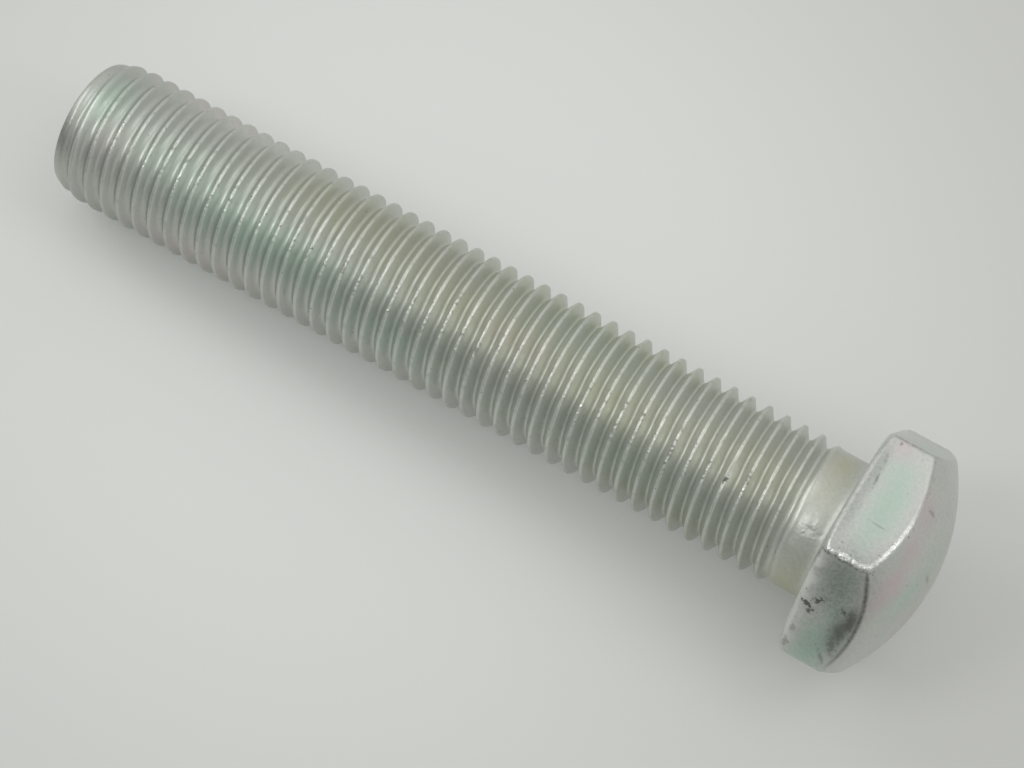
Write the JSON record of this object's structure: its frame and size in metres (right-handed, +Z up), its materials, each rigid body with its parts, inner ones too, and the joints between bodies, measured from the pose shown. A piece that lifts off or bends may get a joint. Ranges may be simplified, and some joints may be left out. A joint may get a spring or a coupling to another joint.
{
  "type": "hex cap screw",
  "caption": "Hexagon cap screw with a crowned head, a short plain neck and a shank threaded to its rounded tip, lying on its side.",
  "frame": {"origin": "on the floor, under the centre of the overall box", "axes": "+X along the shank from the tip to the head, +Z up, with the screw lying at rest on the edge of one head flat and on its last full thread crests"},
  "size_m": [0.1004, 0.0272, 0.0239],
  "materials": {
    "zinc_plated_steel": "bright zinc plate on steel with a pale green and pink passivated film, satin, with handling marks"
  },
  "bodies": {
    "root": {"hex_cap_screw": "zinc_plated_steel"}
  },
  "joints": []
}
